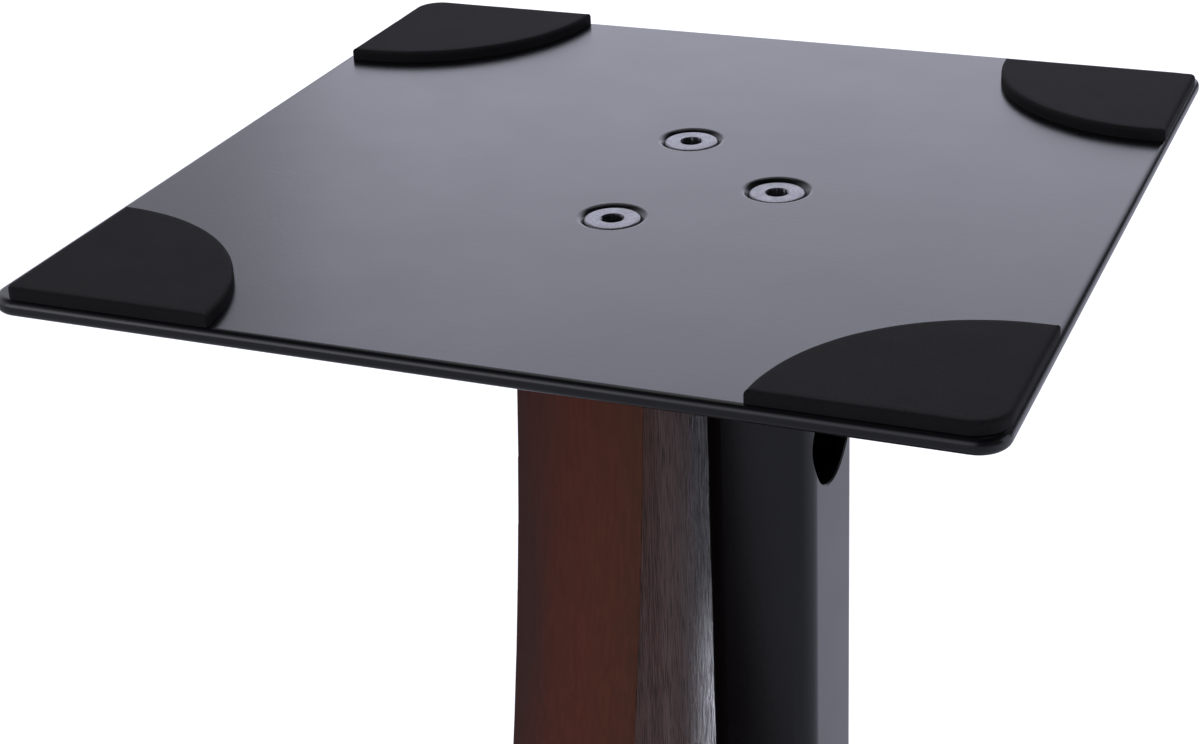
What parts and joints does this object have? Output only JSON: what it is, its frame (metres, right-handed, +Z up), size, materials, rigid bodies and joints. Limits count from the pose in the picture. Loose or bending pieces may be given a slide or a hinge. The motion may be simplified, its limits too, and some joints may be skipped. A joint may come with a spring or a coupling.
{
  "type": "speaker stand",
  "caption": "Floor stand for a bookshelf loudspeaker: steel top plate with corner pads, held by a flared wooden board and a steel cable column over a base plate with levelling spikes.",
  "frame": {"origin": "on the floor under the middle of the base plate", "axes": "+Z up, -X towards the front (the wooden board's broad face), +X towards the back (the cable holes), Y across"},
  "size_m": [0.3, 0.28, 0.613],
  "materials": {
    "plate_paint": "satin black powder coat",
    "column_paint": "satin black powder coat",
    "pad_foam": "matt charcoal foam rubber",
    "board_wood": "red-brown walnut, satin lacquer",
    "insert_metal": "turned",
    "block_steel": "milled",
    "screw_metal": "black nickel, satin",
    "nut_metal": "black oxide",
    "spike_metal": "turned, black nickel",
    "disc_metal": "turned, black nickel",
    "felt": "black felt"
  },
  "bodies": {
    "stand": {"top_plate": "plate_paint", "base_plate": "plate_paint", "corner_pad_front_left": "pad_foam", "corner_pad_front_right": "pad_foam", "corner_pad_rear_left": "pad_foam", "corner_pad_rear_right": "pad_foam", "wood_board": "board_wood", "board_top_inserts": "insert_metal", "board_base_inserts": "insert_metal", "steel_column": "column_paint", "column_top_block": "block_steel", "column_base_block": "block_steel", "top_board_screws": "screw_metal", "top_column_screw": "screw_metal", "base_board_screws": "screw_metal", "base_column_screw": "screw_metal", "lock_nut_front_left": "nut_metal", "lock_nut_front_right": "nut_metal", "lock_nut_rear_left": "nut_metal", "lock_nut_rear_right": "nut_metal"},
    "foot_front_left": {"floor_disc_front_left": "disc_metal", "felt_disc_front_left": "felt"},
    "spike_front_left": {"spike_front_left": "spike_metal"},
    "foot_front_right": {"floor_disc_front_right": "disc_metal", "felt_disc_front_right": "felt"},
    "spike_front_right": {"spike_front_right": "spike_metal"},
    "foot_rear_left": {"floor_disc_rear_left": "disc_metal", "felt_disc_rear_left": "felt"},
    "spike_rear_left": {"spike_rear_left": "spike_metal"},
    "foot_rear_right": {"floor_disc_rear_right": "disc_metal", "felt_disc_rear_right": "felt"},
    "spike_rear_right": {"spike_rear_right": "spike_metal"}
  },
  "joints": [
    {"name": "foot_travel_front_left", "type": "slide", "parent": "stand", "child": "foot_front_left", "axis": [0, 0, 1], "range_m": [-0.006, 0.004]},
    {"name": "spike_turn_front_left", "type": "hinge", "parent": "foot_front_left", "child": "spike_front_left", "pos_m": [-0.124, 0.114, 0.02], "axis": [0, 0, 1], "range_deg": [-1720, 1145]},
    {"name": "foot_travel_front_right", "type": "slide", "parent": "stand", "child": "foot_front_right", "axis": [0, 0, 1], "range_m": [-0.006, 0.004]},
    {"name": "spike_turn_front_right", "type": "hinge", "parent": "foot_front_right", "child": "spike_front_right", "pos_m": [-0.124, -0.114, 0.02], "axis": [0, 0, 1], "range_deg": [-1720, 1145]},
    {"name": "foot_travel_rear_left", "type": "slide", "parent": "stand", "child": "foot_rear_left", "axis": [0, 0, 1], "range_m": [-0.006, 0.004]},
    {"name": "spike_turn_rear_left", "type": "hinge", "parent": "foot_rear_left", "child": "spike_rear_left", "pos_m": [0.124, 0.114, 0.02], "axis": [0, 0, 1], "range_deg": [-1720, 1145]},
    {"name": "foot_travel_rear_right", "type": "slide", "parent": "stand", "child": "foot_rear_right", "axis": [0, 0, 1], "range_m": [-0.006, 0.004]},
    {"name": "spike_turn_rear_right", "type": "hinge", "parent": "foot_rear_right", "child": "spike_rear_right", "pos_m": [0.124, -0.114, 0.02], "axis": [0, 0, 1], "range_deg": [-1720, 1145]}
  ],
  "couplings": [
    {"joint": "foot_travel_front_left", "follows": "spike_turn_front_left", "m_per_rad": 0.00019894},
    {"joint": "foot_travel_front_right", "follows": "spike_turn_front_right", "m_per_rad": 0.00019894},
    {"joint": "foot_travel_rear_left", "follows": "spike_turn_rear_left", "m_per_rad": 0.00019894},
    {"joint": "foot_travel_rear_right", "follows": "spike_turn_rear_right", "m_per_rad": 0.00019894}
  ]
}
